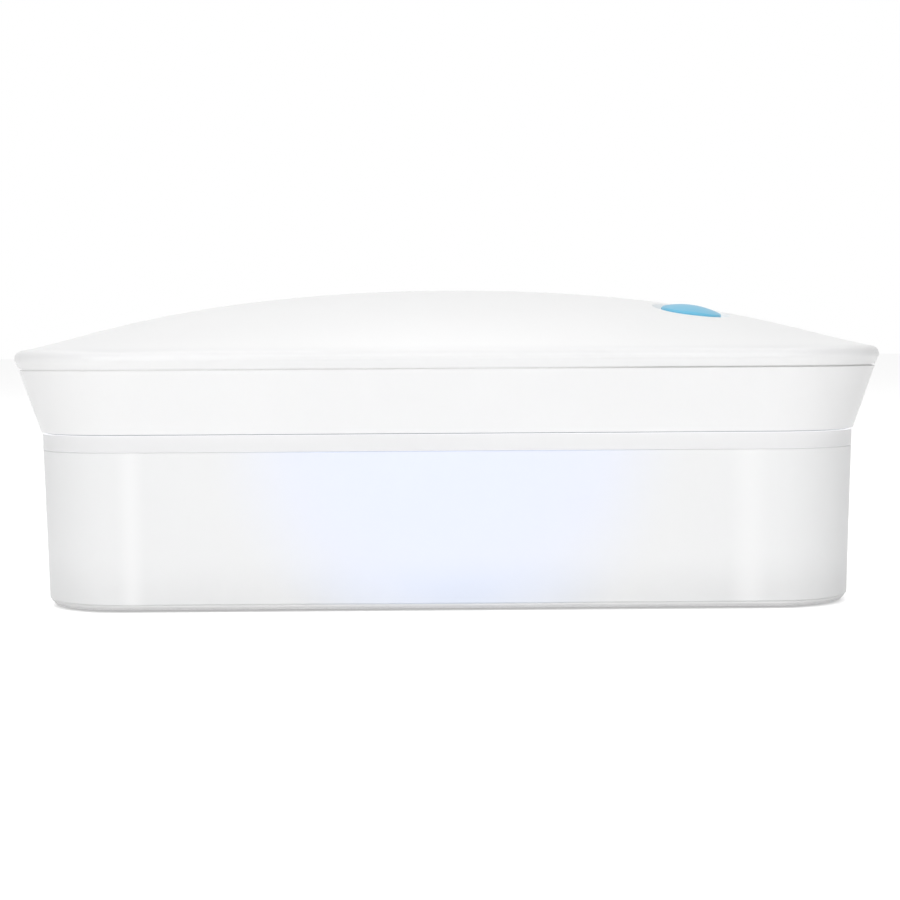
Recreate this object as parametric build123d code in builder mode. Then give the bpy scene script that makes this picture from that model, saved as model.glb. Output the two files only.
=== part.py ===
# UV disinfection box: a frosted tub with a domed lid hinged along its rear edge.
# Millimetres, +Z up. The origin is on the table, under the middle of the lid,
# the front faces -Y and the long side runs along X.
import os
from math import radians, tan

from build123d import *

os.makedirs("parts", exist_ok=True)

# Plan size at the widest line of the lid; every other outline is an inset of this one
box_length = 215.0
box_width = 115.0
plan_corner_radius = 28.5

# Heights, from the table up
foot_gap = 0.5
plate_thickness = 1.2
tub_wall_height = 37.1
rim_height = 4.0
rim_line = 0.3
shut_line = 0.3
skirt_height = 15.3
cover_seam = 0.4
cover_seam_depth = 0.7
lip_height = 2.1
lip_to_dome_edge = 1.8
lip_radius = 1.9
widest_radius = 0.9
dome_rise = 15.5
dome_shoulder = 0.25
dome_margin = 1.1

plate_top = foot_gap + plate_thickness
tub_top = plate_top + tub_wall_height
rim_top = tub_top + rim_height
lid_bottom = rim_top + shut_line
skirt_top = lid_bottom + skirt_height
cover_bottom = skirt_top + cover_seam
widest_level = cover_bottom + lip_height
dome_edge_level = widest_level + lip_to_dome_edge

# Insets of the outlines from the widest line
seam_inset = 1.05
skirt_bottom_inset = 6.25
rim_inset = 6.55
base_draft_angle = 1.6

# Walls and clearances
tub_wall = 2.4
tub_floor = 2.4
cover_wall = 2.2
hollow_spans = 8
skirt_wall = 2.2
liner_wall = 1.8
part_clearance = 0.3
snug_clearance = 0.15
board_thickness = 1.6
thin_board_thickness = 1.2
edge_break = 0.3
level_tolerance = 0.03

# Tub floor ribs
rib_count = 7
rib_pitch = 24.0
rib_width = 1.4
rib_height = 1.6
rib_end_gap = 11.0

# Rim, seal and magnets
rim_thickness = 4.4
rim_tongue_depth = 2.0
rim_tongue_thickness = 1.2
gasket_inset = 1.2
gasket_width = 1.4
gasket_groove_depth = 1.0
gasket_height = 1.15
magnet_length = 10.0
magnet_width = 2.0
magnet_height = 2.0
magnet_lift = 0.2
magnet_x = 62.0
magnet_inset = 9.3
sensor_x = 40.0
sensor_length = 8.0
sensor_width = 4.0
sensor_height = 2.5

# Hinge
hinge_x = 55.0
knuckle_rim_clearance = 0.35
hinge_axis_rise = 0.2
knuckle_radius = 2.3
knuckle_gap = 0.25
hinge_arm_low = 1.9
hinge_arm_height = 5.0
base_knuckle_width = 5.0
lid_knuckle_width = 9.0
pin_radius = 1.0
pin_press_clearance = 0.02
pin_running_clearance = 0.06
pin_end_gap = 0.4

# Foot plate, feet and their screws
foot_plate_inset = 0.5
foot_plate_chamfer = 0.8
foot_radius = 6.0
foot_corner_inset = 24.0
plate_screw_inset = 36.0

# Screws: shank radius, head radius, head height and length. The shanks, heads and their holes
# have few sides, because threads and drives are left out
shank_sides = 8
head_sides = 12
plate_screw = {"shank": 1.1, "head": 2.1, "head_height": 0.6, "length": 2.4}
lid_screw = {"shank": 1.15, "head": 2.2, "head_height": 0.9, "length": 9.0}
board_screw = {"shank": 0.8, "head": 1.7, "head_height": 0.8, "length": 3.4}
screw_clearance = 0.2
thread_clearance = 0.03

# Lid liner
liner_ledge = 2.6
ledge_thickness = 1.0
liner_flange = 2.0
liner_opening_inset = 21.5
liner_depth = 10.9
liner_draft_angle = 12.0
lid_post_width = 6.0
lid_post_inset = 19.0
lid_post_mid_inset = 15.2

# Lamp
window_width = 24.0
window_end_inset = 4.0
window_thickness = 1.2
window_ledge = 2.0
window_corner = 2.0
lamp_board_width = 36.0
lamp_board_gap = 2.5
lamp_standoff = 2.6
lamp_screw_inset = 2.7
led_rows = 2
led_pitch_x = 15.0
led_pitch_y = 14.0
led_size = 3.5
led_height = 1.0
led_window = 2.6
led_window_height = 0.3
standoff_width = 4.6

# Battery
cell_length = 36.0
cell_width = 48.0
cell_height = 6.0
cell_corner = 2.5
cradle_floor = 1.0
cradle_wall = 1.2
cradle_height = 5.0
end_margin = 1.5

# Control board, behind the button's own small board
control_length = 40.0
control_width = 26.0
control_gap = 4.0
control_standoff = 1.0
control_screw_inset = 3.0
chip_size = 7.0
chip_height = 1.2
driver_size = 5.0
driver_height = 2.4
capacitor_radius = 2.5
capacitor_height = 4.0
header_length = 7.0
header_width = 4.0
header_height = 3.6
header_inset = 3.0
component_x = 9.0
component_y = 4.0

# Charging socket, beside the middle of the rear side
usb_x = 24.0
usb_width = 8.94
usb_height = 3.2
usb_corner = 1.4
usb_shell = 0.3
usb_depth = 8.0
usb_set_back = 0.4
usb_tongue_width = 6.7
usb_tongue_thickness = 0.7
usb_tongue_gap = 1.0
usb_opening_clearance = 0.3
charge_board_length = 20.0
charge_board_front = 18.2
charge_board_rear = 7.6
charge_standoff = 1.2
charge_screw_x = 7.2
charge_screw_inset = 14.8

# Button, on the right of the dome and a little forward of its ridge
button_x = 62.2
button_y = -20.5
button_length = 15.3
button_width = 13.3
button_crown = 1.25
button_crown_radius = 22.0
button_clearance = 0.3
button_travel = 0.5
button_wall = 1.3
button_top_thickness = 1.0
dish_length = 20.3
dish_width = 18.0
dish_depth = 1.3
dish_slope = 48.0
guide_depth = 4.2
guide_wall = 2.2
button_flange = 1.1
button_flange_thickness = 0.7
button_flange_gap = 0.1
stem_radius = 1.6
stem_drop = 0.4
plunger_gap = 0.05
plunger_radius = 1.75
plunger_stand = 0.85
plunger_in_body = 0.6
plunger_body_gap = 0.1
plunger_floor_gap = 0.2
switch_size = 6.0
switch_height = 2.0
button_board_length = 32.0
button_board_width = 13.0
button_post_x = 13.0
button_post_width = 4.4


def rim_side_inset(level):
    return rim_inset + (rim_top - level) * tan(radians(base_draft_angle))


def skirt_inset(level):
    share = (level - lid_bottom) / skirt_height
    return skirt_bottom_inset + share * (seam_inset - skirt_bottom_inset)


def outline(inset, mode=Mode.ADD):
    RectangleRounded(
        box_length - 2 * inset,
        box_width - 2 * inset,
        plan_corner_radius - inset,
        mode=mode,
    )


def flared_block(bottom, bottom_inset, top, top_inset):
    with BuildPart() as block:
        with BuildSketch(Plane.XY.offset(bottom)):
            outline(bottom_inset)
        with BuildSketch(Plane.XY.offset(top)):
            outline(top_inset)
        loft(ruled=True)
    return block.part


def ring(bottom, outer_inset, inner_inset, height):
    with BuildPart() as band:
        with BuildSketch(Plane.XY.offset(bottom)):
            outline(outer_inset)
            outline(inner_inset, mode=Mode.SUBTRACT)
        extrude(amount=height)
    return band.part


# The dome is one sheet whose edge stays level along the whole outline. With u and v running
# from -1 to 1 across it, its height over the edge is rise * along(u) * across(v), where
# along(u) = 1 - (1 - shoulder) * u^2 - shoulder * u^4 and across(v) = 1 - v^2
def dome_along(u):
    return 1 - (1 - dome_shoulder) * u**2 - dome_shoulder * u**4


def dome_height(x, y):
    u = 2 * x / box_length
    v = 2 * y / box_width
    return dome_edge_level + dome_rise * dome_along(u) * (1 - v**2)


def dome_slope(x, y):
    u = 2 * x / box_length
    v = 2 * y / box_width
    fall = 2 * (1 - dome_shoulder) * u + 4 * dome_shoulder * u**3
    return (
        2 / box_length * dome_rise * fall * (1 - v**2),
        2 / box_width * dome_rise * dome_along(u) * 2 * v,
    )


# The sheet itself, over a range a little wider than the outline. Its poles across are those of
# 1 - v^2, and along they are put together from the poles of u^2 and of u^4 on a quartic curve
def dome_sheet(drop):
    square = dome_margin**2
    across = [1 - square, 1 + square, 1 - square]
    squared_poles = (1, 0, -1 / 3, 0, 1)
    fourth_poles = (1, -1, 1, -1, 1)
    along = []
    for squared, fourth in zip(squared_poles, fourth_poles):
        fall = (1 - dome_shoulder) * square * squared + dome_shoulder * square**2 * fourth
        along.append(1 - fall)
    poles = []
    for i, bulge in enumerate(along):
        x = (i / 2 - 1) * dome_margin * box_length / 2
        row = []
        for j, share in enumerate(across):
            y = (j - 1) * dome_margin * box_width / 2
            row.append((x, y, dome_edge_level - drop + dome_rise * bulge * share))
        poles.append(row)
    return Face.make_bezier_surface(poles)


# A set of like screws: heads seated on the plane, shanks running along it by direction 1 or -1
def screws(size, plane, places, direction):
    with BuildPart() as fasteners:
        with BuildSketch(plane):
            with Locations(*places):
                RegularPolygon(size["head"], head_sides)
        extrude(amount=-direction * size["head_height"])
        with BuildSketch(plane):
            with Locations(*places):
                RegularPolygon(size["shank"], shank_sides)
        extrude(amount=direction * size["length"])
    return fasteners


def shank_holes(places, radius, mode=Mode.ADD):
    with Locations(*places):
        RegularPolygon(radius, shank_sides, mode=mode)


def corners(x, y, half_x, half_y):
    return [(x + i * half_x, y + j * half_y) for i in (-1, 1) for j in (-1, 1)]


def save(piece, name):
    piece.part.label = name
    export_step(piece.part, f"parts/{name}.step")


half_length = box_length / 2
half_width = box_width / 2

# Base tub: drafted frosted wall, floor and support ribs
tub_outer = flared_block(plate_top, rim_side_inset(plate_top), tub_top, rim_side_inset(tub_top))
tub_inner = flared_block(
    plate_top + tub_floor,
    rim_side_inset(plate_top + tub_floor) + tub_wall,
    tub_top + edge_break,
    rim_side_inset(tub_top + edge_break) + tub_wall,
)
rib_level = plate_top + tub_floor
rib_length = box_width - 2 * (rim_side_inset(rib_level) + tub_wall + rib_end_gap)
plate_screw_places = corners(0, 0, half_length - plate_screw_inset, half_width - plate_screw_inset)

with BuildPart() as base_tub:
    add(tub_outer)
    chamfer(base_tub.edges().group_by(Axis.Z)[0], length=edge_break)
    chamfer(base_tub.edges().group_by(Axis.Z)[-1], length=rim_line)
    add(tub_inner, mode=Mode.SUBTRACT)
    with BuildSketch(Plane.XY.offset(rib_level - edge_break)):
        with GridLocations(rib_pitch, 1, rib_count, 1):
            Rectangle(rib_width, rib_length)
    extrude(amount=rib_height + edge_break)
    with BuildSketch(Plane.XY.offset(plate_top)):
        shank_holes(plate_screw_places, plate_screw["shank"] + thread_clearance)
    extrude(amount=plate_screw["length"] - plate_thickness / 2 + screw_clearance, mode=Mode.SUBTRACT)
save(base_tub, "base_tub")

# Foot plate under the tub, with recesses for the screw heads, and the rubber pads stuck to it
plate_inset = rim_side_inset(plate_top) + foot_plate_inset
foot_places = corners(0, 0, half_length - foot_corner_inset, half_width - foot_corner_inset)
plate_screw_head = foot_gap + plate_thickness / 2

with BuildPart() as base_plate:
    with BuildSketch(Plane.XY.offset(foot_gap)):
        outline(plate_inset)
    extrude(amount=plate_thickness)
    chamfer(base_plate.edges().group_by(Axis.Z)[0], length=foot_plate_chamfer)
    with BuildSketch(Plane.XY.offset(foot_gap)):
        with Locations(*plate_screw_places):
            RegularPolygon(plate_screw["head"] + screw_clearance, head_sides)
    extrude(amount=plate_screw_head - foot_gap, mode=Mode.SUBTRACT)
    with BuildSketch(Plane.XY.offset(foot_gap)):
        shank_holes(plate_screw_places, plate_screw["shank"] + screw_clearance)
    extrude(amount=plate_thickness, mode=Mode.SUBTRACT)
save(base_plate, "base_plate")

with BuildPart() as rubber_feet:
    with BuildSketch(Plane.XY):
        with Locations(*foot_places):
            Circle(foot_radius)
    extrude(amount=foot_gap)
save(rubber_feet, "rubber_feet")

plate_screws = screws(plate_screw, Plane.XY.offset(plate_screw_head), plate_screw_places, 1)
save(plate_screws, "plate_screws")

# Rim: white band on the tub wall, with the seal groove, magnet pockets and hinge knuckles
rim_outer = flared_block(tub_top, rim_side_inset(tub_top), rim_top, rim_inset)
tongue_inset = rim_side_inset(tub_top) + tub_wall + snug_clearance
rim_tongue = ring(
    tub_top - rim_tongue_depth, tongue_inset, tongue_inset + rim_tongue_thickness, rim_tongue_depth
)
gasket_outer = rim_inset + gasket_inset
groove_bottom = rim_top - gasket_groove_depth
gasket_groove = ring(
    groove_bottom,
    gasket_outer - part_clearance / 2,
    gasket_outer + gasket_width + part_clearance / 2,
    gasket_groove_depth,
)
hinge_y = half_width - rim_inset + knuckle_rim_clearance + knuckle_radius
hinge_z = rim_top + hinge_axis_rise
magnet_y = magnet_inset - half_width
magnet_level = tub_top + magnet_lift
base_knuckle_x = (lid_knuckle_width + base_knuckle_width) / 2 + knuckle_gap
web_bottom = hinge_z - knuckle_radius
web_front = half_width - rim_inset - rim_thickness / 2

with BuildPart() as base_rim:
    add(rim_outer)
    with BuildSketch(Plane.XY.offset(tub_top)):
        outline(rim_inset + rim_thickness)
    extrude(amount=rim_height, mode=Mode.SUBTRACT)
    add(rim_tongue)
    with BuildSketch(Plane.XY.offset(tub_top - rim_tongue_depth)):
        with Locations((-magnet_x, magnet_y), (sensor_x, magnet_y), (magnet_x, magnet_y)):
            Rectangle(magnet_length + snug_clearance, magnet_width + snug_clearance)
    extrude(
        amount=rim_tongue_depth + magnet_level - tub_top + magnet_height + snug_clearance / 2,
        mode=Mode.SUBTRACT,
    )
    for side in (-hinge_x, hinge_x):
        for knuckle in (-base_knuckle_x, base_knuckle_x):
            start = side + knuckle - base_knuckle_width / 2
            with BuildSketch(Plane.YZ.offset(start)):
                with Locations(((web_front + hinge_y) / 2, (web_bottom + rim_top) / 2)):
                    Rectangle(hinge_y - web_front, rim_top - web_bottom)
                with Locations((hinge_y, hinge_z)):
                    Circle(knuckle_radius)
            extrude(amount=base_knuckle_width)
            with BuildSketch(Plane.YZ.offset(start)):
                with Locations((hinge_y, hinge_z)):
                    Circle(pin_radius + pin_press_clearance)
            extrude(amount=base_knuckle_width, mode=Mode.SUBTRACT)
    add(gasket_groove, mode=Mode.SUBTRACT)
save(base_rim, "base_rim")

rim_gasket_ring = ring(groove_bottom, gasket_outer, gasket_outer + gasket_width, gasket_height)
with BuildPart() as rim_gasket:
    add(rim_gasket_ring)
save(rim_gasket, "rim_gasket")

with BuildPart() as base_magnets:
    with BuildSketch(Plane.XY.offset(magnet_level)):
        with Locations((-magnet_x, magnet_y), (magnet_x, magnet_y)):
            Rectangle(magnet_length, magnet_width)
    extrude(amount=magnet_height)
save(base_magnets, "base_magnets")

with BuildPart() as sensor_magnet:
    with BuildSketch(Plane.XY.offset(magnet_level)):
        with Locations((sensor_x, magnet_y)):
            Rectangle(magnet_length, magnet_width)
    extrude(amount=magnet_height)
save(sensor_magnet, "sensor_magnet")

pin_length = lid_knuckle_width + 2 * (knuckle_gap + base_knuckle_width - pin_end_gap)
with BuildPart() as hinge_pins:
    for side in (-hinge_x, hinge_x):
        with BuildSketch(Plane.YZ.offset(side - pin_length / 2)):
            with Locations((hinge_y, hinge_z)):
                Circle(pin_radius)
        extrude(amount=pin_length)
save(hinge_pins, "hinge_pins")

# Lid skirt: flared ring with a ledge for the liner, a seat for the cover behind a shadow line,
# a hinge knuckle at each pin and the socket port
skirt_outer = flared_block(lid_bottom, skirt_bottom_inset, skirt_top, seam_inset)
skirt_inner = flared_block(
    lid_bottom + ledge_thickness,
    skirt_inset(lid_bottom + ledge_thickness) + skirt_wall,
    skirt_top + edge_break,
    skirt_inset(skirt_top + edge_break) + skirt_wall,
)
ledge_inset = skirt_bottom_inset + skirt_wall + liner_ledge
tongue_outer_inset = seam_inset + cover_wall + snug_clearance
tongue_inner_inset = tongue_outer_inset + cover_wall / 2
charge_board_bottom = lid_bottom + ledge_thickness + liner_flange + charge_standoff
charge_board_top = charge_board_bottom + thin_board_thickness
usb_centre = charge_board_top + usb_height / 2
usb_mouth_y = half_width - skirt_inset(usb_centre) - usb_set_back
relief_half = base_knuckle_width / 2 + knuckle_gap

with BuildPart() as lid_skirt:
    add(skirt_outer)
    add(skirt_inner, mode=Mode.SUBTRACT)
    with BuildSketch(Plane.XY.offset(lid_bottom)):
        outline(ledge_inset)
    extrude(amount=ledge_thickness, mode=Mode.SUBTRACT)
    add(
        ring(
            skirt_top - ledge_thickness,
            seam_inset + cover_seam_depth,
            tongue_inner_inset,
            ledge_thickness + cover_seam,
        )
    )
    add(ring(cover_bottom, tongue_outer_inset, tongue_inner_inset, lip_height))
    for side in (-hinge_x, hinge_x):
        for knuckle in (-base_knuckle_x, base_knuckle_x):
            with BuildSketch(Plane.YZ.offset(side + knuckle - relief_half)):
                with Locations((hinge_y, hinge_z)):
                    Circle(knuckle_radius + part_clearance)
            extrude(amount=2 * relief_half, mode=Mode.SUBTRACT)
        with BuildSketch(Plane.YZ.offset(side - lid_knuckle_width / 2)):
            with BuildLine():
                arm_low = lid_bottom + hinge_arm_low
                arm_high = arm_low + hinge_arm_height
                low_y = half_width - skirt_inset(arm_low) - skirt_wall / 2
                high_y = half_width - skirt_inset(arm_high) - skirt_wall / 2
                Line((low_y, arm_low), (high_y, arm_high))
                CenterArc((hinge_y, hinge_z), knuckle_radius, 0, 360)
            make_hull()
        extrude(amount=lid_knuckle_width)
        with BuildSketch(Plane.YZ.offset(side - lid_knuckle_width / 2)):
            with Locations((hinge_y, hinge_z)):
                Circle(pin_radius + pin_running_clearance)
        extrude(amount=lid_knuckle_width, mode=Mode.SUBTRACT)
    with BuildSketch(Plane.XZ.offset(-half_width)):
        with Locations((usb_x, usb_centre)):
            RectangleRounded(
                usb_width + 2 * usb_opening_clearance,
                usb_height + 2 * usb_opening_clearance,
                usb_corner + usb_opening_clearance,
            )
    extrude(amount=usb_depth, mode=Mode.SUBTRACT)
save(lid_skirt, "lid_skirt")

# Frame of the button: on the dome, square to its surface there
slope_x, slope_y = dome_slope(button_x, button_y)
button_plane = Plane(
    origin=(button_x, button_y, dome_height(button_x, button_y)),
    x_dir=(1, 0, -slope_x),
    z_dir=(slope_x, slope_y, 1),
)
button_axis = Axis(button_plane.origin, button_plane.z_dir)
cap_flange_top = -guide_depth - button_flange_gap
cap_flange_bottom = cap_flange_top - button_flange_thickness
stem_bottom = cap_flange_bottom - stem_drop
switch_top = stem_bottom - plunger_gap - plunger_stand
button_board_top = switch_top - switch_height
button_post_places = [(-button_post_x, 0), (button_post_x, 0)]

# Lid top cover: one domed shell with a dished seat for the button, its guide and the screw posts
cover_lip = flared_block(cover_bottom, seam_inset, widest_level, 0)
cover_inset = seam_inset + cover_wall
dome_top = dome_edge_level + dome_rise
ledge_top = lid_bottom + ledge_thickness
post_bottom = ledge_top + liner_flange
middle_post_y = half_width - lid_post_mid_inset
post_places = corners(0, 0, half_length - lid_post_inset, half_width - lid_post_inset)
post_places += [(0, -middle_post_y), (0, middle_post_y)]
dish_side = dish_depth / tan(radians(dish_slope))

# Hollow under the dome, ruled between sections that each follow the dome less its wall
with BuildPart() as cover_hollow:
    for i in range(hollow_spans + 1):
        x = (2 * i / hollow_spans - 1) * (half_length - cover_inset)
        edge = dome_height(x, half_width) - cover_wall
        crest = dome_height(x, 0) - cover_wall
        with BuildSketch(Plane.YZ.offset(x)):
            with BuildLine():
                Bezier((-half_width, edge), (0, 2 * crest - edge), (half_width, edge))
                Line((half_width, edge), (half_width, cover_bottom))
                Line((half_width, cover_bottom), (-half_width, cover_bottom))
                Line((-half_width, cover_bottom), (-half_width, edge))
            make_face()
    loft(ruled=True)
    with BuildSketch(Plane.XY.offset(cover_bottom)):
        outline(cover_inset)
    extrude(amount=dome_top - cover_bottom, mode=Mode.INTERSECT)

with BuildPart() as lid_posts:
    with BuildSketch(Plane.XY.offset(post_bottom)):
        with Locations(*post_places):
            Rectangle(lid_post_width, lid_post_width)
    extrude(amount=dome_top - post_bottom)
    split(bisect_by=dome_sheet(cover_wall / 2), keep=Keep.BOTTOM)

with BuildPart() as lid_top_cover:
    add(cover_lip)
    with BuildSketch(Plane.XY.offset(widest_level)):
        outline(0)
    extrude(amount=dome_top - widest_level + cover_wall)
    split(bisect_by=dome_sheet(0), keep=Keep.BOTTOM)
    dome_edges = lid_top_cover.edges().filter_by(
        lambda edge: edge.center().Z > dome_edge_level - edge_break
    )
    fillet(dome_edges, radius=lip_radius)
    widest_edges = lid_top_cover.edges().filter_by(
        lambda edge: abs(edge.bounding_box().max.Z - widest_level) < level_tolerance
        and abs(edge.bounding_box().min.Z - widest_level) < level_tolerance
    )
    fillet(widest_edges, radius=widest_radius)
    add(cover_hollow.part, mode=Mode.SUBTRACT)
    add(lid_posts.part)
    with BuildSketch(button_plane.offset(-guide_depth)):
        SlotOverall(dish_length + guide_wall, dish_width + guide_wall)
    extrude(amount=guide_depth - cover_wall / 2)
    with BuildSketch(button_plane.offset(button_board_top)):
        with Locations(*button_post_places):
            Rectangle(button_post_width, button_post_width)
    extrude(amount=-button_board_top - cover_wall / 2)
    with BuildSketch(button_plane.offset(-dish_depth)):
        SlotOverall(dish_length - 2 * dish_side, dish_width - 2 * dish_side)
    with BuildSketch(button_plane.offset(dish_depth)):
        SlotOverall(dish_length + 2 * dish_side, dish_width + 2 * dish_side)
    loft(ruled=True, mode=Mode.SUBTRACT)
    with BuildSketch(button_plane.offset(-guide_depth)):
        SlotOverall(button_length + 2 * button_clearance, button_width + 2 * button_clearance)
    extrude(amount=guide_depth + dish_depth, mode=Mode.SUBTRACT)
    with BuildSketch(Plane.XY.offset(post_bottom)):
        shank_holes(post_places, lid_screw["shank"] + thread_clearance)
    extrude(amount=lid_screw["length"], mode=Mode.SUBTRACT)
    with BuildSketch(button_plane.offset(button_board_top)):
        shank_holes(button_post_places, board_screw["shank"] + thread_clearance)
    extrude(amount=board_screw["length"], mode=Mode.SUBTRACT)
save(lid_top_cover, "lid_top_cover")

# Button cap: crowned oval key with a hollow skirt, a retaining flange and a stem
with BuildPart() as cap_crown:
    with Locations(button_plane.offset(button_crown - button_crown_radius).location):
        Sphere(button_crown_radius)

with BuildPart() as button_cap:
    with BuildSketch(button_plane.offset(cap_flange_bottom)):
        SlotOverall(button_length, button_width)
    extrude(amount=button_crown - cap_flange_bottom)
    add(cap_crown.part, mode=Mode.INTERSECT)
    chamfer(button_cap.faces().sort_by(button_axis)[-1].edges(), length=edge_break)
    with BuildSketch(button_plane.offset(cap_flange_bottom)):
        SlotOverall(button_length + 2 * button_flange, button_width + 2 * button_flange)
    extrude(amount=button_flange_thickness)
    with BuildSketch(button_plane.offset(cap_flange_bottom)):
        SlotOverall(button_length - 2 * button_wall, button_width - 2 * button_wall)
    extrude(amount=-cap_flange_bottom - button_top_thickness, mode=Mode.SUBTRACT)
    with BuildSketch(button_plane.offset(stem_bottom)):
        Circle(stem_radius)
    extrude(amount=-stem_bottom - button_top_thickness / 2)
save(button_cap, "button_cap")

# Tact switch under the stem: body with a well for its plunger, on a board of its own
plunger_bottom = switch_top - plunger_in_body
with BuildPart() as button_switch:
    with BuildSketch(button_plane.offset(button_board_top)):
        Rectangle(switch_size, switch_size)
    extrude(amount=switch_height)
    with BuildSketch(button_plane.offset(plunger_bottom - button_travel - plunger_floor_gap)):
        Circle(plunger_radius + plunger_body_gap)
    extrude(amount=switch_height, mode=Mode.SUBTRACT)
save(button_switch, "button_switch")

with BuildPart() as switch_plunger:
    with BuildSketch(button_plane.offset(plunger_bottom)):
        Circle(plunger_radius)
    extrude(amount=plunger_in_body + plunger_stand)
save(switch_plunger, "switch_plunger")

with BuildPart() as button_board:
    with BuildSketch(button_plane.offset(button_board_top)):
        Rectangle(button_board_length, button_board_width)
        shank_holes(button_post_places, board_screw["shank"] + screw_clearance, Mode.SUBTRACT)
    extrude(amount=-thin_board_thickness)
save(button_board, "button_board")

# Layout on the liner's ceiling: battery on the left, lamp in the middle, control board on the right
ceiling_level = ledge_top + liner_depth
ceiling_top = ceiling_level + liner_wall
liner_draft = tan(radians(liner_draft_angle))
ceiling_inset = liner_opening_inset + liner_depth * liner_draft
ceiling_half_length = half_length - ceiling_inset
cradle_length = cell_length + 2 * (part_clearance + cradle_wall)
cradle_width = cell_width + 2 * (part_clearance + cradle_wall)
cradle_x = end_margin - ceiling_half_length + cradle_length / 2
control_x = ceiling_half_length - end_margin - control_length / 2
control_y = button_y + button_board_width / 2 + control_gap + control_width / 2
left_space = -cradle_x - cradle_length / 2
right_space = control_x - control_length / 2
lamp_half_length = min(left_space, right_space) - lamp_board_gap
window_length = 2 * (lamp_half_length - window_end_inset)
lamp_board_bottom = ceiling_top + lamp_standoff
control_board_bottom = ceiling_top + control_standoff
lamp_screw_places = corners(
    0,
    0,
    lamp_half_length - lamp_screw_inset,
    lamp_board_width / 2 - lamp_screw_inset,
)
control_screw_places = corners(
    control_x,
    control_y,
    control_length / 2 - control_screw_inset,
    control_width / 2 - control_screw_inset,
)
charge_screw_y = half_width - charge_screw_inset
charge_screw_places = [
    (usb_x - charge_screw_x, charge_screw_y),
    (usb_x + charge_screw_x, charge_screw_y),
]
sensor_y = -middle_post_y

# Liner: tray that closes the lid, with its flange clamped on the skirt's ledge
flange_inset = skirt_inset(ledge_top) + skirt_wall + part_clearance
liner_body = flared_block(
    ledge_top,
    liner_opening_inset - liner_wall,
    ceiling_top,
    ceiling_inset - liner_wall * (1 - liner_draft),
)
liner_hollow = flared_block(ledge_top, liner_opening_inset, ceiling_level, ceiling_inset)
lid_screw_seat = ledge_top + lid_screw["head_height"] + thread_clearance
magnet_notch = magnet_width / 2 + part_clearance

with BuildPart() as lid_liner:
    with BuildSketch(Plane.XY.offset(ledge_top)):
        outline(flange_inset)
    extrude(amount=liner_flange)
    add(liner_body)
    for board_bottom, places in (
        (lamp_board_bottom, lamp_screw_places),
        (control_board_bottom, control_screw_places),
    ):
        with BuildSketch(Plane.XY.offset(ceiling_level + liner_wall / 2)):
            with Locations(*places):
                Rectangle(standoff_width, standoff_width)
        extrude(amount=board_bottom - ceiling_level - liner_wall / 2)
    with BuildSketch(Plane.XY.offset(ledge_top)):
        with Locations(*charge_screw_places):
            Rectangle(standoff_width, standoff_width)
    extrude(amount=charge_board_bottom - ledge_top)
    add(liner_hollow, mode=Mode.SUBTRACT)
    with BuildSketch(Plane.XY.offset(ceiling_level)):
        RectangleRounded(window_length - 2 * window_ledge, window_width - 2 * window_ledge, window_corner)
    extrude(amount=liner_wall, mode=Mode.SUBTRACT)
    with BuildSketch(Plane.XY.offset(ceiling_top - window_thickness)):
        RectangleRounded(window_length + snug_clearance, window_width + snug_clearance, window_corner)
    extrude(amount=window_thickness, mode=Mode.SUBTRACT)
    with BuildSketch(Plane.XY.offset(ledge_top)):
        with Locations(*post_places):
            RegularPolygon(lid_screw["head"] + screw_clearance, head_sides)
    extrude(amount=lid_screw_seat - ledge_top, mode=Mode.SUBTRACT)
    with BuildSketch(Plane.XY.offset(ledge_top)):
        shank_holes(post_places, lid_screw["shank"] + screw_clearance)
    extrude(amount=liner_flange, mode=Mode.SUBTRACT)
    with BuildSketch(Plane.XY.offset(ledge_top)):
        with Locations((-magnet_x, magnet_y), (magnet_x, magnet_y)):
            Rectangle(magnet_length + 2 * part_clearance, 2 * magnet_notch)
    extrude(amount=liner_flange, mode=Mode.SUBTRACT)
    pilot = board_screw["length"] - thin_board_thickness + screw_clearance
    for board_bottom, places in (
        (lamp_board_bottom, lamp_screw_places),
        (control_board_bottom, control_screw_places),
        (charge_board_bottom, charge_screw_places),
    ):
        with BuildSketch(Plane.XY.offset(board_bottom)):
            shank_holes(places, board_screw["shank"] + thread_clearance)
        extrude(amount=-pilot, mode=Mode.SUBTRACT)
save(lid_liner, "lid_liner")

lid_screws = screws(lid_screw, Plane.XY.offset(lid_screw_seat), post_places, 1)
save(lid_screws, "lid_screws")

with BuildPart() as lid_magnets:
    with BuildSketch(Plane.XY.offset(ledge_top)):
        with Locations((-magnet_x, magnet_y), (magnet_x, magnet_y)):
            Rectangle(magnet_length, magnet_width)
    extrude(amount=magnet_height)
save(lid_magnets, "lid_magnets")

# Sensor that switches the lamp off when the lid is raised, over the magnet in the rim
with BuildPart() as lid_sensor:
    with BuildSketch(Plane.XY.offset(post_bottom)):
        with Locations((sensor_x, sensor_y)):
            Rectangle(sensor_length, sensor_width)
    extrude(amount=sensor_height)
    chamfer(lid_sensor.edges().group_by(Axis.Z)[-1], length=edge_break)
save(lid_sensor, "lid_sensor")

# Lamp: window in the ceiling, board above it and the lamps facing down
with BuildPart() as lamp_window:
    with BuildSketch(Plane.XY.offset(ceiling_top - window_thickness)):
        RectangleRounded(window_length, window_width, window_corner)
    extrude(amount=window_thickness)
save(lamp_window, "lamp_window")

with BuildPart() as lamp_board:
    with BuildSketch(Plane.XY.offset(lamp_board_bottom)):
        Rectangle(2 * lamp_half_length, lamp_board_width)
        shank_holes(lamp_screw_places, board_screw["shank"] + screw_clearance, Mode.SUBTRACT)
    extrude(amount=board_thickness)
save(lamp_board, "lamp_board")

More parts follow.
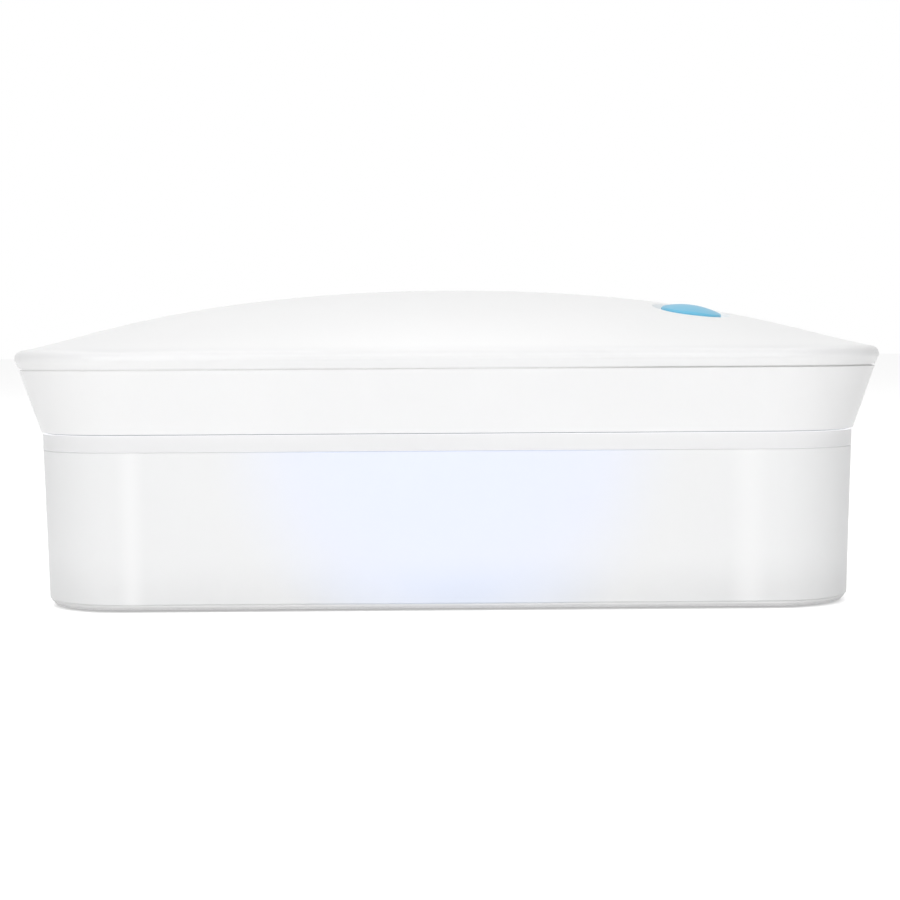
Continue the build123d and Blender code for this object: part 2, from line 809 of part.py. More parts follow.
led_columns = int((window_length - 2 * window_ledge) // led_pitch_x) + 1
with BuildPart() as uv_lamps:
    with BuildSketch(Plane.XY.offset(lamp_board_bottom)):
        with GridLocations(led_pitch_x, led_pitch_y, led_columns, led_rows):
            Rectangle(led_size, led_size)
    extrude(amount=-led_height)
    with BuildSketch(Plane.XY.offset(lamp_board_bottom - led_height)):
        with GridLocations(led_pitch_x, led_pitch_y, led_columns, led_rows):
            Rectangle(led_window, led_window)
    extrude(amount=-led_window_height)
save(uv_lamps, "uv_lamps")

# Battery: pouch cell in a cradle on the ceiling
with BuildPart() as battery_cradle:
    with BuildSketch(Plane.XY.offset(ceiling_top)):
        with Locations((cradle_x, 0)):
            RectangleRounded(cradle_length, cradle_width, cell_corner + cradle_wall)
    extrude(amount=cradle_height)
    with BuildSketch(Plane.XY.offset(ceiling_top + cradle_floor)):
        with Locations((cradle_x, 0)):
            RectangleRounded(
                cell_length + 2 * part_clearance, cell_width + 2 * part_clearance, cell_corner
            )
    extrude(amount=cradle_height, mode=Mode.SUBTRACT)
    with BuildSketch(Plane.XY.offset(ceiling_top + cradle_floor)):
        with Locations((cradle_x, 0)):
            Rectangle(cell_length / 2, 2 * cradle_width)
    extrude(amount=cradle_height, mode=Mode.SUBTRACT)
save(battery_cradle, "battery_cradle")

with BuildPart() as battery_cell:
    with BuildSketch(Plane.XY.offset(ceiling_top + cradle_floor)):
        with Locations((cradle_x, 0)):
            RectangleRounded(cell_length, cell_width, cell_corner)
    extrude(amount=cell_height)
    chamfer(battery_cell.edges().group_by(Axis.Z)[-1], length=cell_corner / 2)
save(battery_cell, "battery_cell")

# Control board with its parts
control_board_top = control_board_bottom + board_thickness
with BuildPart() as control_board:
    with BuildSketch(Plane.XY.offset(control_board_bottom)):
        with Locations((control_x, control_y)):
            Rectangle(control_length, control_width)
        shank_holes(control_screw_places, board_screw["shank"] + screw_clearance, Mode.SUBTRACT)
    extrude(amount=board_thickness)
save(control_board, "control_board")

with BuildPart() as board_components:
    with BuildSketch(Plane.XY.offset(control_board_top)):
        with Locations((control_x - component_x, control_y + component_y)):
            Rectangle(chip_size, chip_size)
    extrude(amount=chip_height)
    with BuildSketch(Plane.XY.offset(control_board_top)):
        with Locations((control_x, control_y - component_y)):
            Rectangle(driver_size, driver_size)
    extrude(amount=driver_height)
    with BuildSketch(Plane.XY.offset(control_board_top)):
        with Locations((control_x + component_x, control_y + component_y)):
            Circle(capacitor_radius)
    extrude(amount=capacitor_height)
    with BuildSketch(Plane.XY.offset(control_board_top)):
        with Locations(
            (control_x, control_y + control_width / 2 - header_inset),
            (control_x, control_y - control_width / 2 + header_inset),
        ):
            Rectangle(header_length, header_width)
    extrude(amount=header_height)
save(board_components, "board_components")

# Charging socket on its own board behind the liner
charge_board_y = half_width - (charge_board_front + charge_board_rear) / 2
with BuildPart() as charge_board:
    with BuildSketch(Plane.XY.offset(charge_board_bottom)):
        with Locations((usb_x, charge_board_y)):
            Rectangle(charge_board_length, charge_board_front - charge_board_rear)
        shank_holes(charge_screw_places, board_screw["shank"] + screw_clearance, Mode.SUBTRACT)
    extrude(amount=thin_board_thickness)
save(charge_board, "charge_board")

with BuildPart() as usb_socket:
    with BuildSketch(Plane.XZ.offset(-usb_mouth_y)):
        with Locations((usb_x, usb_centre)):
            RectangleRounded(usb_width, usb_height, usb_corner)
    extrude(amount=usb_depth)
    with BuildSketch(Plane.XZ.offset(-usb_mouth_y)):
        with Locations((usb_x, usb_centre)):
            RectangleRounded(
                usb_width - 2 * usb_shell, usb_height - 2 * usb_shell, usb_corner - usb_shell
            )
    extrude(amount=usb_depth - usb_shell, mode=Mode.SUBTRACT)
save(usb_socket, "usb_socket")

with BuildPart() as usb_tongue:
    with BuildSketch(Plane.XZ.offset(usb_tongue_gap - usb_mouth_y)):
        with Locations((usb_x, usb_centre)):
            Rectangle(usb_tongue_width, usb_tongue_thickness)
    extrude(amount=usb_depth - usb_shell - usb_tongue_gap)
save(usb_tongue, "usb_tongue")

# Small screws of the four boards
lamp_screws = screws(
    board_screw, Plane.XY.offset(lamp_board_bottom + board_thickness), lamp_screw_places, -1
)
save(lamp_screws, "lamp_screws")
control_screws = screws(board_screw, Plane.XY.offset(control_board_top), control_screw_places, -1)
save(control_screws, "control_screws")
charge_screws = screws(board_screw, Plane.XY.offset(charge_board_top), charge_screw_places, -1)
save(charge_screws, "charge_screws")
button_screws = screws(
    board_screw, button_plane.offset(button_board_top - thin_board_thickness), button_post_places, 1
)
save(button_screws, "button_screws")
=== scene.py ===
from math import cos, radians, sin, tau

import bmesh
import bpy
from mathutils import Matrix, Vector


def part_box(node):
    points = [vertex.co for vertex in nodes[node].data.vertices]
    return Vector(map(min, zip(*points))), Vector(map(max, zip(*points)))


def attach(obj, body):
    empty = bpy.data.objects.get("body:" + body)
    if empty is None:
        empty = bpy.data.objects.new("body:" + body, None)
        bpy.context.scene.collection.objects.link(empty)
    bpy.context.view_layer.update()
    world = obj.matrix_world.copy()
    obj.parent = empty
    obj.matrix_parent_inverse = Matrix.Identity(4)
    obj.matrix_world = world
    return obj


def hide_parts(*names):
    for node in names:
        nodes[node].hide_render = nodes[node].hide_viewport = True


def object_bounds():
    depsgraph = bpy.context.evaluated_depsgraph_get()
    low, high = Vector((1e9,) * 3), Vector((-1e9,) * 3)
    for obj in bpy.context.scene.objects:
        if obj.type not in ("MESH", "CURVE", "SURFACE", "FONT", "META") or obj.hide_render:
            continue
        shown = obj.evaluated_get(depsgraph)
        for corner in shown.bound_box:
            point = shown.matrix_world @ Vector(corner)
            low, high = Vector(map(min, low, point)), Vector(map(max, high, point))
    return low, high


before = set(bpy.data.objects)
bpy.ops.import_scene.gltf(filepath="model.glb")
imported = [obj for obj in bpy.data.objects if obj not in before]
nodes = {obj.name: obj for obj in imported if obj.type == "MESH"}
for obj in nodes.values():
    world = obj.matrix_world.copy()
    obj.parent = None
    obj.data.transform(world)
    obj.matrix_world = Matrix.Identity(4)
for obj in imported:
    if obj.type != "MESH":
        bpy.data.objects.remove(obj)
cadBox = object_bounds()
scene = bpy.context.scene

print("box: frame loaded,", len(nodes), "pieces")

floatKind = "NodeSocketFloat"
colourKind = "NodeSocketColor"
black = (0, 0, 0, 1)
white = (1, 1, 1, 1)
millimetre = 0.001


# Small helpers for shader trees

def feed(tree, sockets, values):  # links what is a socket, and sets what is a plain value
    for key, value in values.items():
        if isinstance(value, bpy.types.NodeSocket):
            tree.links.new(value, sockets[key])
        else:
            sockets[key].default_value = value


def addNode(tree, kind, inputs=None, **settings):
    node = tree.nodes.new(kind)
    for key, value in settings.items():
        setattr(node, key, value)
    feed(tree, node.inputs, inputs or {})
    return node


def doMath(tree, operation, *values, clamp=False):
    inputs = dict(enumerate(values))
    node = addNode(tree, "ShaderNodeMath", inputs, operation=operation, use_clamp=clamp)
    return node.outputs[0]


def remap(tree, value, low, high, toLow=0.0, toHigh=1.0, smooth=True):
    inputs = {"Value": value, "From Min": low, "From Max": high, "To Min": toLow, "To Max": toHigh}
    kind = "SMOOTHSTEP" if smooth else "LINEAR"
    return addNode(tree, "ShaderNodeMapRange", inputs, interpolation_type=kind).outputs["Result"]


def mixColour(tree, factor, first, second):  # the colour sockets of a Mix node are 6 and 7
    inputs = {0: factor, 6: first, 7: second}
    return addNode(tree, "ShaderNodeMix", inputs, data_type="RGBA").outputs[2]


def noise(tree, place, scale, detail):
    inputs = {"Vector": place, "Scale": scale, "Detail": detail}
    return addNode(tree, "ShaderNodeTexNoise", inputs).outputs["Fac"]


def objectPlace(tree):
    return addNode(tree, "ShaderNodeTexCoord").outputs["Object"]


def splitAxes(tree, place):
    return addNode(tree, "ShaderNodeSeparateXYZ", {"Vector": place}).outputs


def distanceFrom(tree, value, level):
    return doMath(tree, "ABSOLUTE", doMath(tree, "SUBTRACT", value, level))


def startGroup(name, inputs, outputs):
    group = bpy.data.node_groups.new(name, "ShaderNodeTree")
    for label, kind, value in inputs:
        socket = group.interface.new_socket(name=label, in_out="INPUT", socket_type=kind)
        socket.default_value = value
    for label, kind in outputs:
        group.interface.new_socket(name=label, in_out="OUTPUT", socket_type=kind)
    given = group.nodes.new("NodeGroupInput").outputs
    result = group.nodes.new("NodeGroupOutput").inputs
    return group, given, result


# Fine grain of a mould over slow clouds of two close colours
grainForm = {
    "fineDetail": 3.0, "cloudDetail": 2.0, "cloudLow": 0.35, "cloudMiddle": 0.5, "cloudHigh": 0.65,
}


def buildMouldGrain(form):
    group, given, result = startGroup(
        "mouldGrain",
        [("Scale", floatKind, 900.0), ("Flow", floatKind, 14.0), ("Tint", colourKind, white),
         ("Shade", colourKind, (0.9, 0.9, 0.9, 1)), ("Roughness", floatKind, 0.4),
         ("Spread", floatKind, 0.08)],
        [("Colour", colourKind), ("Roughness", floatKind), ("Height", floatKind)],
    )
    place = objectPlace(group)
    fine = noise(group, place, given["Scale"], form["fineDetail"])
    flow = noise(group, place, given["Flow"], form["cloudDetail"])
    cloud = remap(group, flow, form["cloudLow"], form["cloudHigh"])
    colour = mixColour(group, cloud, given["Shade"], given["Tint"])
    uneven = doMath(group, "SUBTRACT", flow, form["cloudMiddle"])
    rough = doMath(group, "MULTIPLY", uneven, given["Spread"])
    rough = doMath(group, "ADD", rough, given["Roughness"], clamp=True)
    feed(group, result, {"Colour": colour, "Roughness": rough, "Height": fine})
    return group


# Painted shade near one level of the box, in soft patches
shadeForm = {"patchScale": 40.0, "patchDetail": 4.0, "patchLow": 0.2, "patchHigh": 0.7}


def buildSeamShade(form):
    group, given, result = startGroup(
        "seamShade",
        [("Colour", colourKind, white), ("Dust", colourKind, (0.5, 0.5, 0.5, 1)),
         ("Level", floatKind, 0.05), ("Width", floatKind, 0.0006), ("Amount", floatKind, 0.5),
         ("Least", floatKind, 0.4)],
        [("Colour", colourKind)],
    )
    place = objectPlace(group)
    away = distanceFrom(group, splitAxes(group, place)["Z"], given["Level"])
    near = remap(group, away, 0.0, given["Width"], 1.0, 0.0)
    patch = noise(group, place, form["patchScale"], form["patchDetail"])
    uneven = remap(group, patch, form["patchLow"], form["patchHigh"], given["Least"], 1.0)
    amount = doMath(group, "MULTIPLY", doMath(group, "MULTIPLY", near, uneven), given["Amount"])
    colour = mixColour(group, amount, given["Colour"], given["Dust"])
    feed(group, result, {"Colour": colour})
    return group


# Light of the lamps in the frosted wall: an oval that fades from its core to its edge
glowForm = {"cloudScale": 18.0, "cloudDetail": 2.0, "cloudAmount": 0.2, "edge": 1.25, "core": 0.15}


def buildLampGlow(form):
    group, given, result = startGroup(
        "lampGlow",
        [("Half Length", floatKind, 0.056), ("Half Height", floatKind, 0.056),
         ("Level", floatKind, 0.045), ("Glow", colourKind, (0.3, 0.4, 1, 1))],
        [("Mask", floatKind), ("Emission", colourKind)],
    )
    place = objectPlace(group)
    axes = splitAxes(group, place)
    along = doMath(group, "DIVIDE", axes["X"], given["Half Length"])
    up = doMath(group, "SUBTRACT", axes["Z"], given["Level"])
    up = doMath(group, "DIVIDE", up, given["Half Height"])
    along = doMath(group, "MULTIPLY", along, along)
    up = doMath(group, "MULTIPLY", up, up)
    cloud = noise(group, place, form["cloudScale"], form["cloudDetail"])
    cloud = doMath(group, "MULTIPLY", cloud, form["cloudAmount"])
    away = doMath(group, "ADD", doMath(group, "ADD", along, up), cloud)
    mask = remap(group, away, form["edge"], form["core"])
    light = mixColour(group, mask, black, given["Glow"])
    feed(group, result, {"Mask": mask, "Emission": light})
    return group


# Brushed lines along the X axis over slow stains
brushForm = {
    "stretch": (0.12, 1.0, 1.0), "lineDetail": 5.0, "lineRoughness": 0.25,
    "stainScale": 160.0, "stainDetail": 3.0, "stainLow": 0.3, "stainHigh": 0.7,
}


def buildBrushedMetal(form):
    group, given, result = startGroup(
        "brushedMetal",
        [("Tint", colourKind, (0.7, 0.7, 0.7, 1)), ("Shade", colourKind, (0.5, 0.5, 0.5, 1)),
         ("Roughness", floatKind, 0.3), ("Scale", floatKind, 1500.0)],
        [("Colour", colourKind), ("Roughness", floatKind), ("Height", floatKind)],
    )
    place = objectPlace(group)
    stretched = addNode(group, "ShaderNodeMapping", {"Vector": place, "Scale": form["stretch"]})
    lines = noise(group, stretched.outputs[0], given["Scale"], form["lineDetail"])
    stain = noise(group, place, form["stainScale"], form["stainDetail"])
    stain = remap(group, stain, form["stainLow"], form["stainHigh"])
    colour = mixColour(group, stain, given["Shade"], given["Tint"])
    rough = doMath(group, "MULTIPLY", lines, form["lineRoughness"])
    rough = doMath(group, "ADD", rough, given["Roughness"])
    feed(group, result, {"Colour": colour, "Roughness": rough, "Height": lines})
    return group


# Copper tracks and solder pads that show through a board's lacquer
trackForm = {
    "scale": 220.0, "width": 0.05, "softness": 0.2, "length": 1.3, "row": 0.55, "offset": 0.37,
    "padScale": 330.0, "padScatter": 0.7, "padEdge": 1.3, "padsFrom": 0.56, "padsFull": 0.58,
}


def buildBoardTracks(form):
    group, given, result = startGroup(
        "boardTracks",
        [("Lacquer", colourKind, (0.02, 0.2, 0.08, 1)),
         ("Shade", colourKind, (0.015, 0.15, 0.06, 1)),
         ("Track", colourKind, (0.05, 0.3, 0.12, 1)), ("Solder", colourKind, (0.7, 0.7, 0.68, 1)),
         ("Pad Size", floatKind, 0.09)],
        [("Colour", colourKind), ("Pads", floatKind), ("Height", floatKind)],
    )
    place = objectPlace(group)
    tracks = addNode(group, "ShaderNodeTexBrick", {
        "Vector": place, "Scale": form["scale"], "Mortar Size": form["width"],
        "Mortar Smooth": form["softness"], "Brick Width": form["length"],
        "Row Height": form["row"], "Color1": given["Lacquer"], "Color2": given["Shade"],
        "Mortar": given["Track"]}, offset=form["offset"]).outputs
    cells = addNode(group, "ShaderNodeTexVoronoi", {
        "Vector": place, "Scale": form["padScale"], "Randomness": form["padScatter"]}).outputs
    edge = doMath(group, "MULTIPLY", given["Pad Size"], form["padEdge"])
    pads = remap(group, cells["Distance"], edge, given["Pad Size"])
    chosen = remap(group, cells["Color"], form["padsFrom"], form["padsFull"])
    pads = doMath(group, "MULTIPLY", pads, chosen)
    colour = mixColour(group, pads, tracks["Color"], given["Solder"])
    height = doMath(group, "MAXIMUM", tracks["Fac"], pads)
    feed(group, result, {"Colour": colour, "Pads": pads, "Height": height})
    return group


mouldGrain = buildMouldGrain(grainForm)
seamShade = buildSeamShade(shadeForm)
lampGlow = buildLampGlow(glowForm)
brushedMetal = buildBrushedMetal(brushForm)
boardTracks = buildBoardTracks(trackForm)
print("box: shared effects built")


# Helpers for materials

def startMaterial(name, fixed=None):
    material = bpy.data.materials.new(name)
    material.use_nodes = True
    tree = material.node_tree
    shader = tree.nodes["Principled BSDF"]
    feed(tree, shader.inputs, fixed or {})
    return material, tree, shader


def placeGroup(tree, group, inputs):
    return addNode(tree, "ShaderNodeGroup", inputs, node_tree=group).outputs


def placeGrain(tree, settings):
    return placeGroup(tree, mouldGrain, {
        "Tint": settings["tint"], "Shade": settings["shade"], "Scale": settings["grain"],
        "Roughness": settings["roughness"], "Spread": settings["spread"]})


def finishSurface(tree, shader, colour, roughness, height, settings):
    bump = addNode(tree, "ShaderNodeBump", {
        "Height": height, "Strength": settings["bump"], "Distance": settings["depth"]})
    feed(tree, shader.inputs, {
        "Base Color": colour, "Roughness": roughness, "Normal": bump.outputs[0]})


# Light that comes through the pale walls into the thin lines between the mouldings
def lightLines(tree, lines):
    axes = splitAxes(tree, objectPlace(tree))
    colour = black
    for line in lines:
        away = distanceFrom(tree, axes["Z"], line["level"])
        near = remap(tree, away, line["width"], line["width"] / 2)
        if "fade" in line:
            fade = line["fade"]
            left = remap(tree, axes[fade["axis"]], fade["start"], fade["end"], 1.0, fade["least"])
            near = doMath(tree, "MULTIPLY", near, left)
        colour = mixColour(tree, near, colour, line["light"])
    return colour


def grainyPlastic(name, settings):
    material, tree, shader = startMaterial(name, settings.get("fixed"))
    grain = placeGrain(tree, settings)
    colour = grain["Colour"]
    # Painted shade in a band at one level, here the cover's lip
    if "lip" in settings:
        colour = placeGroup(tree, seamShade, {"Colour": colour, **settings["lip"]})["Colour"]
    if "lines" in settings:
        feed(tree, shader.inputs, {"Emission Color": lightLines(tree, settings["lines"])})
    finishSurface(tree, shader, colour, grain["Roughness"], grain["Height"], settings)
    return material


finishes = {}


def dress(make, kinds):
    for name, settings in kinds.items():
        finishes[name] = make(name, settings)
        for node in settings["nodes"]:
            for place in nodes[node].material_slots:
                place.link = "OBJECT"
                place.material = finishes[name]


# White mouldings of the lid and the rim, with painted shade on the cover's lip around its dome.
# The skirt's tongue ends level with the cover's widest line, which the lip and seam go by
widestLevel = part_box("lid_skirt")[1][2]
lipRise = 0.0013
seamDrop = 0.0023
coverLine = {
    "level": widestLevel - seamDrop, "width": 0.00035, "light": (0.065, 0.065, 0.065, 1),
    "fade": {"axis": "X", "start": 0.015, "end": 0.057, "least": 0.0},
}
shutLine = {
    "level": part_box("rim_gasket")[1][2], "width": 0.00024, "light": (0.36, 0.36, 0.38, 1),
    "fade": {"axis": "Y", "start": -0.05, "end": 0.01, "least": 0.25},
}
rimLine = {
    "level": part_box("base_tub")[1][2], "width": 0.0003, "light": (0.05, 0.05, 0.055, 1),
}
softShell = {
    "Subsurface Weight": 0.3, "Subsurface Scale": 0.0015, "Subsurface Radius": (1, 1, 1),
    "Emission Strength": 1.0,
}
smoothMould = {
    "fixed": softShell, "grain": 1400.0, "roughness": 0.36, "spread": 0.12, "bump": 0.12,
    "depth": 0.00004,
}
shells = {
    "coverPlastic": {
        "nodes": ["lid_top_cover"], "lines": [coverLine],
        "tint": (0.93, 0.93, 0.93, 1), "shade": (0.915, 0.915, 0.915, 1),
        "lip": {"Dust": (0.72, 0.72, 0.725, 1), "Level": widestLevel + lipRise, "Width": 0.0021,
                "Amount": 0.55, "Least": 0.85},
        **smoothMould,
    },
    "skirtPlastic": {
        "nodes": ["lid_skirt"], "lines": [coverLine, shutLine],
        "tint": (0.93, 0.93, 0.93, 1), "shade": (0.915, 0.915, 0.915, 1), **smoothMould,
    },
    # The rim's white is a darker copy of the lid's white, as painted shade
    "rimPlastic": {
        "nodes": ["base_rim"], "lines": [shutLine, rimLine],
        "tint": (0.845, 0.845, 0.85, 1), "shade": (0.825, 0.825, 0.83, 1), **smoothMould,
    },
}
dress(grainyPlastic, shells)

# Frosted wall of the tub with the lamps' light painted in it, painted shade where the floor joins
# it, and a painted highlight in a stripe where each end of the front begins to round
frosted = {
    "nodes": ["base_tub"], "fixed": {"Emission Strength": 1.0},
    "tint": (0.855, 0.858, 0.86, 1), "shade": (0.84, 0.843, 0.845, 1), "grain": 2200.0,
    "roughness": 0.42, "spread": 0.1, "bump": 0.2, "depth": 0.00005,
    "glow": (0.0, 0.008, 0.055, 1), "lit": (0.82, 0.853, 0.94, 1),
    "floorLevel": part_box("base_tub")[0][2], "floorShadeHeight": 0.013, "floorShadeAmount": 0.32,
    "floorShade": (0.6, 0.6, 0.6, 1), "litFloorShade": (0.5, 0.68, 1.0, 1),
    "gleam": (0.95, 0.95, 0.95, 1),
    "gleams": [{"at": -0.0765, "width": 0.004, "amount": 0.4},
               {"at": 0.0725, "width": 0.006, "amount": 0.4}],
}


def frostedWall(name, settings):
    material, tree, shader = startMaterial(name, settings["fixed"])
    grain = placeGrain(tree, settings)
    glow = placeGroup(tree, lampGlow, {"Glow": settings["glow"]})
    colour = mixColour(tree, glow["Mask"], grain["Colour"], settings["lit"])
    paintedShade = mixColour(tree, glow["Mask"], settings["floorShade"], settings["litFloorShade"])
    # Painted shade towards the floor, bluer where the lamps' light is painted
    colour = placeGroup(tree, seamShade, {
        "Colour": colour, "Dust": paintedShade, "Level": settings["floorLevel"],
        "Width": settings["floorShadeHeight"], "Amount": settings["floorShadeAmount"]})["Colour"]
    axes = splitAxes(tree, objectPlace(tree))
    # Painted highlight in a stripe at each end of the front, where it begins to round
    for gleam in settings["gleams"]:
        beside = distanceFrom(tree, axes["X"], gleam["at"])
        near = remap(tree, beside, 0.0, gleam["width"], gleam["amount"], 0.0)
        colour = mixColour(tree, near, colour, settings["gleam"])
    feed(tree, shader.inputs, {"Emission Color": glow["Emission"]})
    finishSurface(tree, shader, colour, grain["Roughness"], grain["Height"], settings)
    return material


dress(frostedWall, {"frostedWallPlastic": frosted})
print("box: shells dressed")

# Plain mouldings and rubber, and the lamps' ceramic and die
plastics = {
    "linerPlastic": {
        "nodes": ["lid_liner", "battery_cradle"],
        "tint": (0.86, 0.865, 0.87, 1), "shade": (0.83, 0.835, 0.84, 1), "grain": 1500.0,
        "roughness": 0.45, "spread": 0.1, "bump": 0.15, "depth": 0.00005,
    },
    "footPlatePlastic": {
        "nodes": ["base_plate"],
        "tint": (0.82, 0.82, 0.82, 1), "shade": (0.78, 0.78, 0.78, 1), "grain": 1100.0,
        "roughness": 0.5, "spread": 0.1, "bump": 0.25, "depth": 0.00006,
    },
    "footRubber": {
        "nodes": ["rubber_feet"],
        "tint": (0.32, 0.33, 0.34, 1), "shade": (0.26, 0.27, 0.28, 1), "grain": 2600.0,
        "roughness": 0.75, "spread": 0.15, "bump": 0.5, "depth": 0.0001,
    },
    "sealRubber": {
        "nodes": ["rim_gasket"],
        "tint": (0.62, 0.63, 0.64, 1), "shade": (0.55, 0.56, 0.57, 1), "grain": 2400.0,
        "roughness": 0.65, "spread": 0.12, "bump": 0.3, "depth": 0.00008,
    },
    "blueKeyPlastic": {
        "nodes": ["button_cap"],
        "tint": (0.16, 0.52, 0.74, 1), "shade": (0.14, 0.48, 0.7, 1), "grain": 1700.0,
        "roughness": 0.34, "spread": 0.1, "bump": 0.12, "depth": 0.00004,
    },
    "darkPlastic": {
        "nodes": ["usb_tongue", "button_switch", "switch_plunger", "lid_sensor",
                  "board_components"],
        "tint": (0.035, 0.035, 0.038, 1), "shade": (0.02, 0.02, 0.022, 1), "grain": 2000.0,
        "roughness": 0.5, "spread": 0.12, "bump": 0.2, "depth": 0.00005,
    },
    "lampCeramic": {
        "nodes": [],
        "tint": (0.85, 0.84, 0.8, 1), "shade": (0.78, 0.77, 0.73, 1), "grain": 4000.0,
        "roughness": 0.4, "spread": 0.1, "bump": 0.1, "depth": 0.00003,
    },
    "lampDie": {
        "nodes": [],
        "tint": (0.16, 0.08, 0.3, 1), "shade": (0.1, 0.05, 0.22, 1), "grain": 6000.0,
        "roughness": 0.2, "spread": 0.1, "bump": 0.1, "depth": 0.00001,
    },
}
dress(grainyPlastic, plastics)

# Boards
boards = {
    "lampBoardLacquer": {
        "nodes": ["lamp_board"],
        "lacquer": (0.8, 0.8, 0.78, 1), "shade": (0.75, 0.75, 0.73, 1),
        "track": (0.66, 0.67, 0.65, 1), "solder": (0.5, 0.5, 0.48, 1),
        "roughness": 0.36, "padRoughness": 0.24, "bump": 0.3, "depth": 0.00005,
    },
    "controlBoardLacquer": {
        "nodes": ["control_board", "charge_board", "button_board"],
        "lacquer": (0.02, 0.2, 0.08, 1), "shade": (0.015, 0.16, 0.06, 1),
        "track": (0.05, 0.32, 0.13, 1), "solder": (0.7, 0.7, 0.68, 1),
        "roughness": 0.32, "padRoughness": 0.24, "bump": 0.3, "depth": 0.00005,
    },
}


def lacqueredBoard(name, settings):
    material, tree, shader = startMaterial(name)
    tracks = placeGroup(tree, boardTracks, {
        "Lacquer": settings["lacquer"], "Shade": settings["shade"], "Track": settings["track"],
        "Solder": settings["solder"]})
    pads = tracks["Pads"]
    rough = remap(tree, pads, 0.0, 1.0, settings["roughness"], settings["padRoughness"])
    feed(tree, shader.inputs, {"Metallic": pads})
    finishSurface(tree, shader, tracks["Colour"], rough, tracks["Height"], settings)
    return material


dress(lacqueredBoard, boards)

# Metals
brushedGrain = {"bump": 0.15, "depth": 0.00003}
metals = {
    "screwSteel": {
        "nodes": ["button_screws", "hinge_pins", "usb_socket"],
        "tint": (0.68, 0.68, 0.67, 1), "shade": (0.55, 0.55, 0.54, 1), "roughness": 0.24,
    },
    "magnetNickel": {
        "nodes": ["base_magnets", "sensor_magnet", "lid_magnets"],
        "tint": (0.72, 0.7, 0.66, 1), "shade": (0.6, 0.58, 0.55, 1), "roughness": 0.16,
    },
    "cellFoil": {
        "nodes": ["battery_cell"],
        "tint": (0.75, 0.75, 0.77, 1), "shade": (0.66, 0.66, 0.68, 1), "roughness": 0.3,
    },
    "goldPlate": {
        "nodes": [],
        "tint": (0.9, 0.68, 0.3, 1), "shade": (0.8, 0.58, 0.24, 1), "roughness": 0.2,
    },
}


def brushed(name, settings):
    material, tree, shader = startMaterial(name, {"Metallic": 1.0})
    metal = placeGroup(tree, brushedMetal, {
        "Tint": settings["tint"], "Shade": settings["shade"], "Roughness": settings["roughness"]})
    finishSurface(tree, shader, metal["Colour"], metal["Roughness"], metal["Height"], brushedGrain)
    return material


dress(brushed, metals)

# Clear window under the lamps
windowSheet = {
    "nodes": ["lamp_window"], "fixed": {"Transmission Weight": 1.0, "IOR": 1.46},
    "tint": (0.97, 0.98, 1, 1), "shade": (0.94, 0.95, 0.98, 1), "grain": 600.0,
    "roughness": 0.05, "spread": 0.04,
}


def clearSheet(name, settings):
    material, tree, shader = startMaterial(name, settings["fixed"])
    grain = placeGrain(tree, settings)
    feed(tree, shader.inputs, {"Base Color": grain["Colour"], "Roughness": grain["Roughness"]})
    return material


dress(clearSheet, {"clearWindow": windowSheet})
print("box: plastics, boards, metals and window dressed")


# Helpers for meshes

def addObject(name, data):
    item = bpy.data.objects.new(name, data)
    scene.collection.objects.link(item)
    return item


def finishMesh(shape, name, *materials):
    bmesh.ops.recalc_face_normals(shape, faces=shape.faces)
    mesh = bpy.data.meshes.new(name)
    shape.to_mesh(mesh)
    shape.free()
    for material in materials:
        mesh.materials.append(material)
    return mesh


def circle(shape, radius, level, sides):
    return [shape.verts.new((radius * cos(tau * i / sides), radius * sin(tau * i / sides), level))
            for i in range(sides)]


def rectangle(shape, left, right, start, end, level):
    return [shape.verts.new((x, y, level))
            for x, y in ((left, start), (right, start), (right, end), (left, end))]


def band(shape, first, second):
    faces = []
    for i in range(len(first)):
        j = (i + 1) % len(first)
        faces.append(shape.faces.new((first[i], first[j], second[j], second[i])))
    return faces


weldDistance = 1e-6


# Lowest and highest corner of each loose piece of a CAD node, in order of their places
def looseBoxes(name):
    shape = bmesh.new()
    shape.from_mesh(nodes[name].data)
    bmesh.ops.remove_doubles(shape, verts=shape.verts, dist=weldDistance)
    left = set(shape.verts)
    boxes = []
    while left:
        front = [left.pop()]
        points = []
        while front:
            vertex = front.pop()
            points.append(vertex.co.copy())
            for edge in vertex.link_edges:
                other = edge.other_vert(vertex)
                if other in left:
                    left.remove(other)
                    front.append(other)
        low = Vector([min(point[axis] for point in points) for axis in range(3)])
        high = Vector([max(point[axis] for point in points) for axis in range(3)])
        boxes.append((low, high))
    shape.free()
    return sorted(boxes, key=lambda corners: tuple(corners[0]))


# Screws with rounded heads, cross recesses and ridged shanks, made with the drive face down at
# level 0. The first six values are shares of the head or shank, cadSides are those of a CAD head
screwForm = {
    "rimRound": 0.22, "armLength": 0.58, "armWidth": 0.16, "recessDepth": 0.6,
    "recessTaper": 0.7, "ridgeDepth": 0.12, "ridgePitch": 0.0005,
    "sides": 32, "rimSteps": 4, "cadSides": 12, "turnStep": tau / 16,
}
screwKinds = {
    "plate_screws": {"body": "base", "head": 0.0006, "shank": 0.0011, "headUp": False},
    "lid_screws": {"body": "lid", "head": 0.0009, "shank": 0.00115, "headUp": False},
    "lamp_screws": {"body": "lid", "head": 0.0008, "shank": 0.0008, "headUp": True},
    "control_screws": {"body": "lid", "head": 0.0008, "shank": 0.0008, "headUp": True},
    "charge_screws": {"body": "lid", "head": 0.0008, "shank": 0.0008, "headUp": True},
}


def crossOutline(shape, arm, width, level):
    points = []
    for quarter in range(4):
        turn = Matrix.Rotation(tau * quarter / 4, 3, "Z")
        for x, y in ((arm, width), (width, width), (width, arm)):
            points.append(turn @ Vector((x, y, 0)) + Vector((0, 0, level)))
    return [shape.verts.new(point) for point in points]


